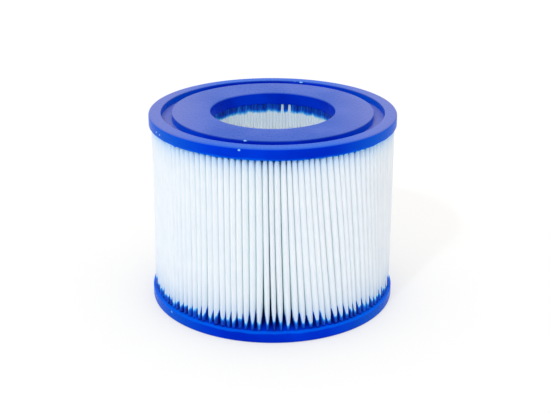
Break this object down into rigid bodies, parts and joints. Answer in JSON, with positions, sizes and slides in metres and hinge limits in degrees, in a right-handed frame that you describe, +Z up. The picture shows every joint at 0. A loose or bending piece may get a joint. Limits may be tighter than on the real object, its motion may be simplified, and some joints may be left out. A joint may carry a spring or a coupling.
{
  "type": "filter cartridge",
  "caption": "Short round pleated filter cartridge: white folded cloth held between two blue cast end caps, with a bore right through.",
  "frame": {"origin": "centre of the bottom end cap's outer face, on the bore's axis", "axes": "+Z up along the bore, from the bottom end cap to the top one; -Y is the side seen in front, and the cloth's seam is at +Y"},
  "size_m": [0.106, 0.106, 0.0835],
  "materials": {
    "end_cap": "gloss",
    "filter_cloth": "matte",
    "seam_adhesive": "satin"
  },
  "bodies": {
    "root": {"bottom_end_cap": "end_cap", "top_end_cap": "end_cap", "pleated_media": "filter_cloth", "media_seam": "seam_adhesive"}
  },
  "joints": []
}
